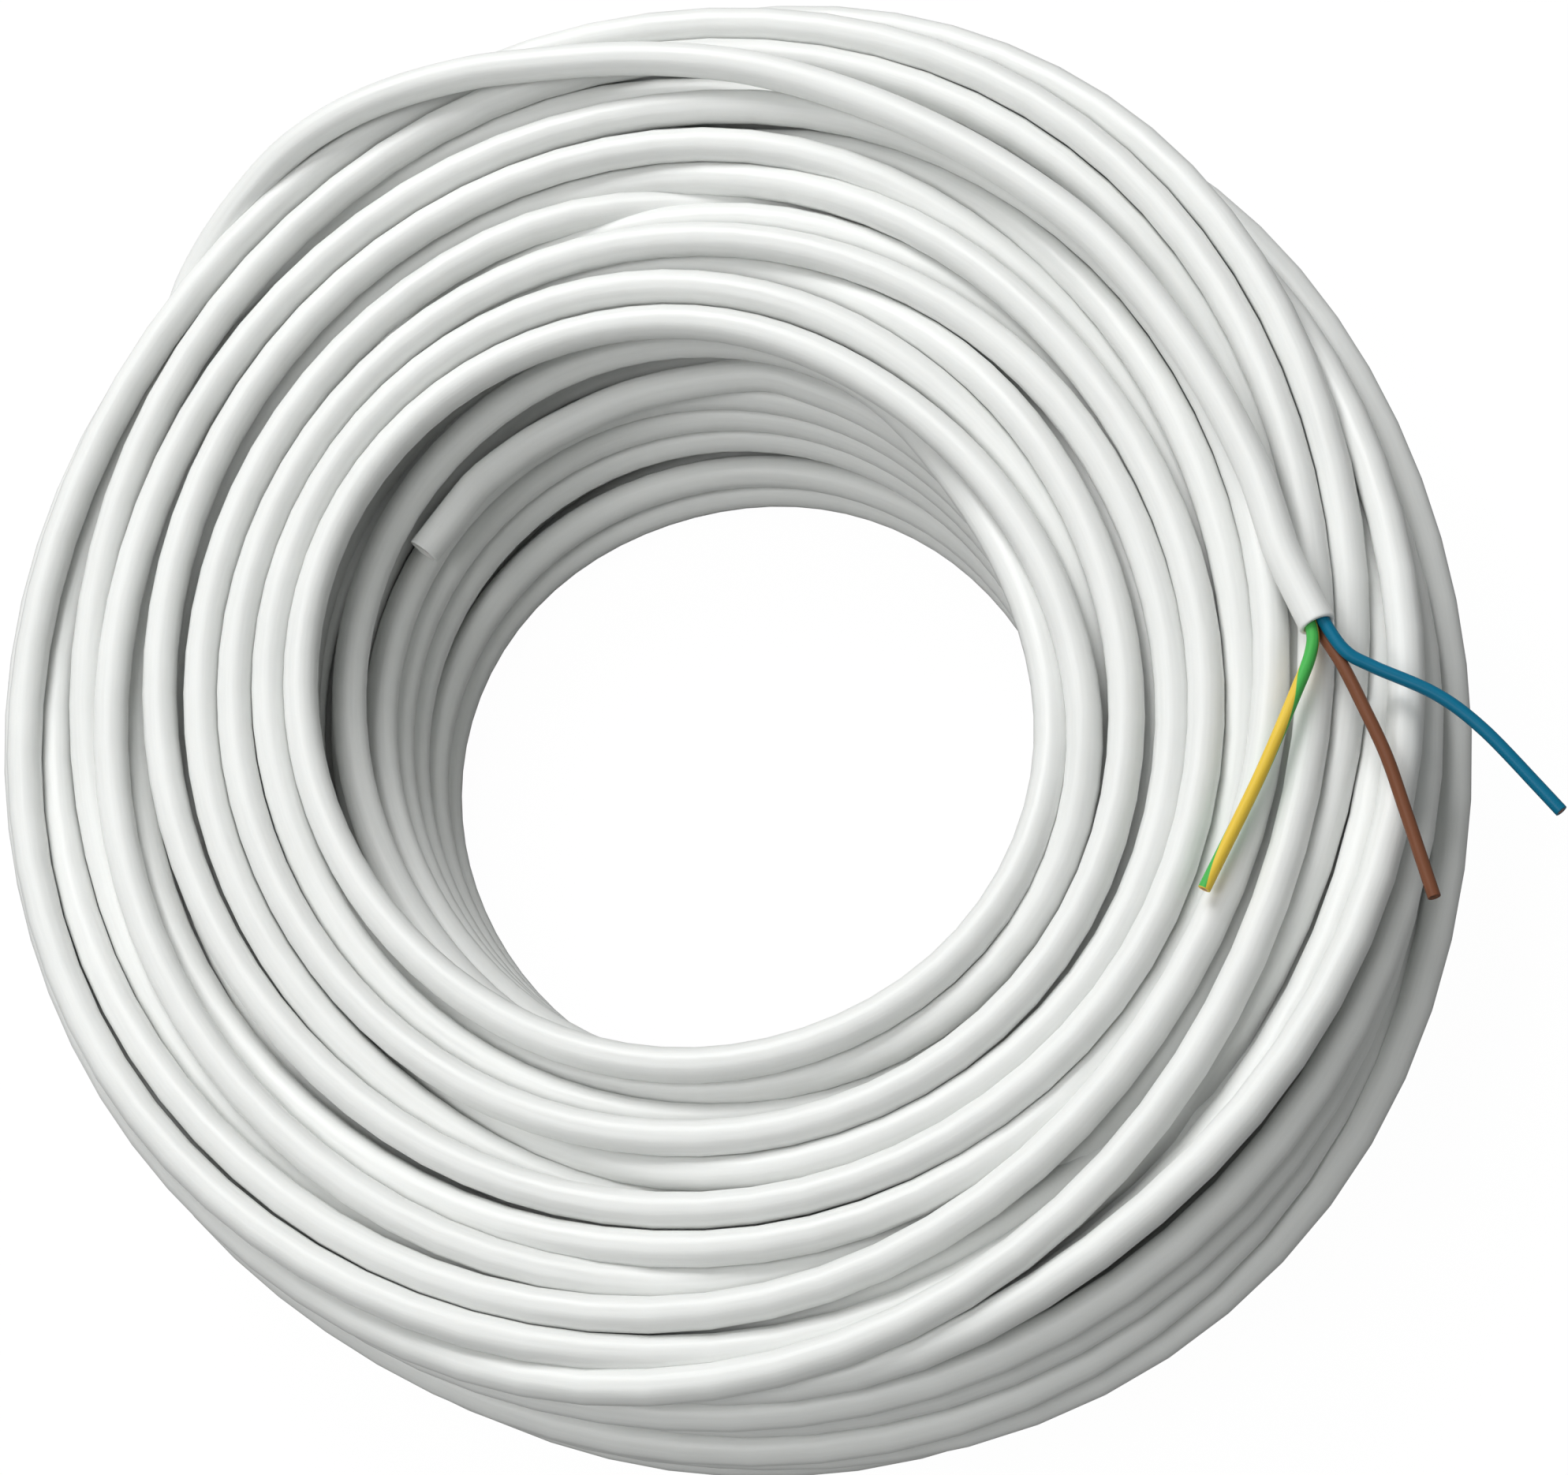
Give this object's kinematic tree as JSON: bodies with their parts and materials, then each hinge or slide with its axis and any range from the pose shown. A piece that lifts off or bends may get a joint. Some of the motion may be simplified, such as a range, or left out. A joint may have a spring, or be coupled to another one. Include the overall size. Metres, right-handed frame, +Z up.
{
  "type": "coil of flexible extension cable",
  "caption": "Loose flat ring of round white flexible mains cable for an extension lead, wound for storage, with the outer end stripped back to its blue, brown and green-yellow cores.",
  "frame": {"origin": "the middle of the ring, on the surface that it lies on", "axes": "+Z up, along the ring's axis; +X towards the place where the outer end's sheath stops; +Y so that the winding runs clockwise from the inner end to the outer end seen from +Z"},
  "size_m": [0.2908, 0.2776, 0.0686],
  "materials": {
    "sheath": "semi-matte white PVC, faint streaks along it",
    "blue_insulation": "smooth PVC, satin",
    "brown_insulation": "smooth PVC, satin",
    "green_insulation": "smooth PVC, satin",
    "yellow_insulation": "smooth PVC, satin",
    "copper": "bright bare copper wire, cut"
  },
  "bodies": {
    "root": {"sheath_coil_turns": "sheath", "sheath_inner_turns": "sheath", "sheath_outer_end": "sheath", "sheath_inner_end": "sheath", "blue_core": "blue_insulation", "brown_core": "brown_insulation", "earth_core_green": "green_insulation", "earth_core_yellow": "yellow_insulation", "blue_conductor": "copper", "brown_conductor": "copper", "earth_conductor": "copper", "blue_core_inner_end": "blue_insulation", "brown_core_inner_end": "brown_insulation", "earth_core_inner_end_green": "green_insulation", "earth_core_inner_end_yellow": "yellow_insulation", "blue_conductor_inner_end": "copper", "brown_conductor_inner_end": "copper", "earth_conductor_inner_end": "copper"}
  },
  "joints": []
}
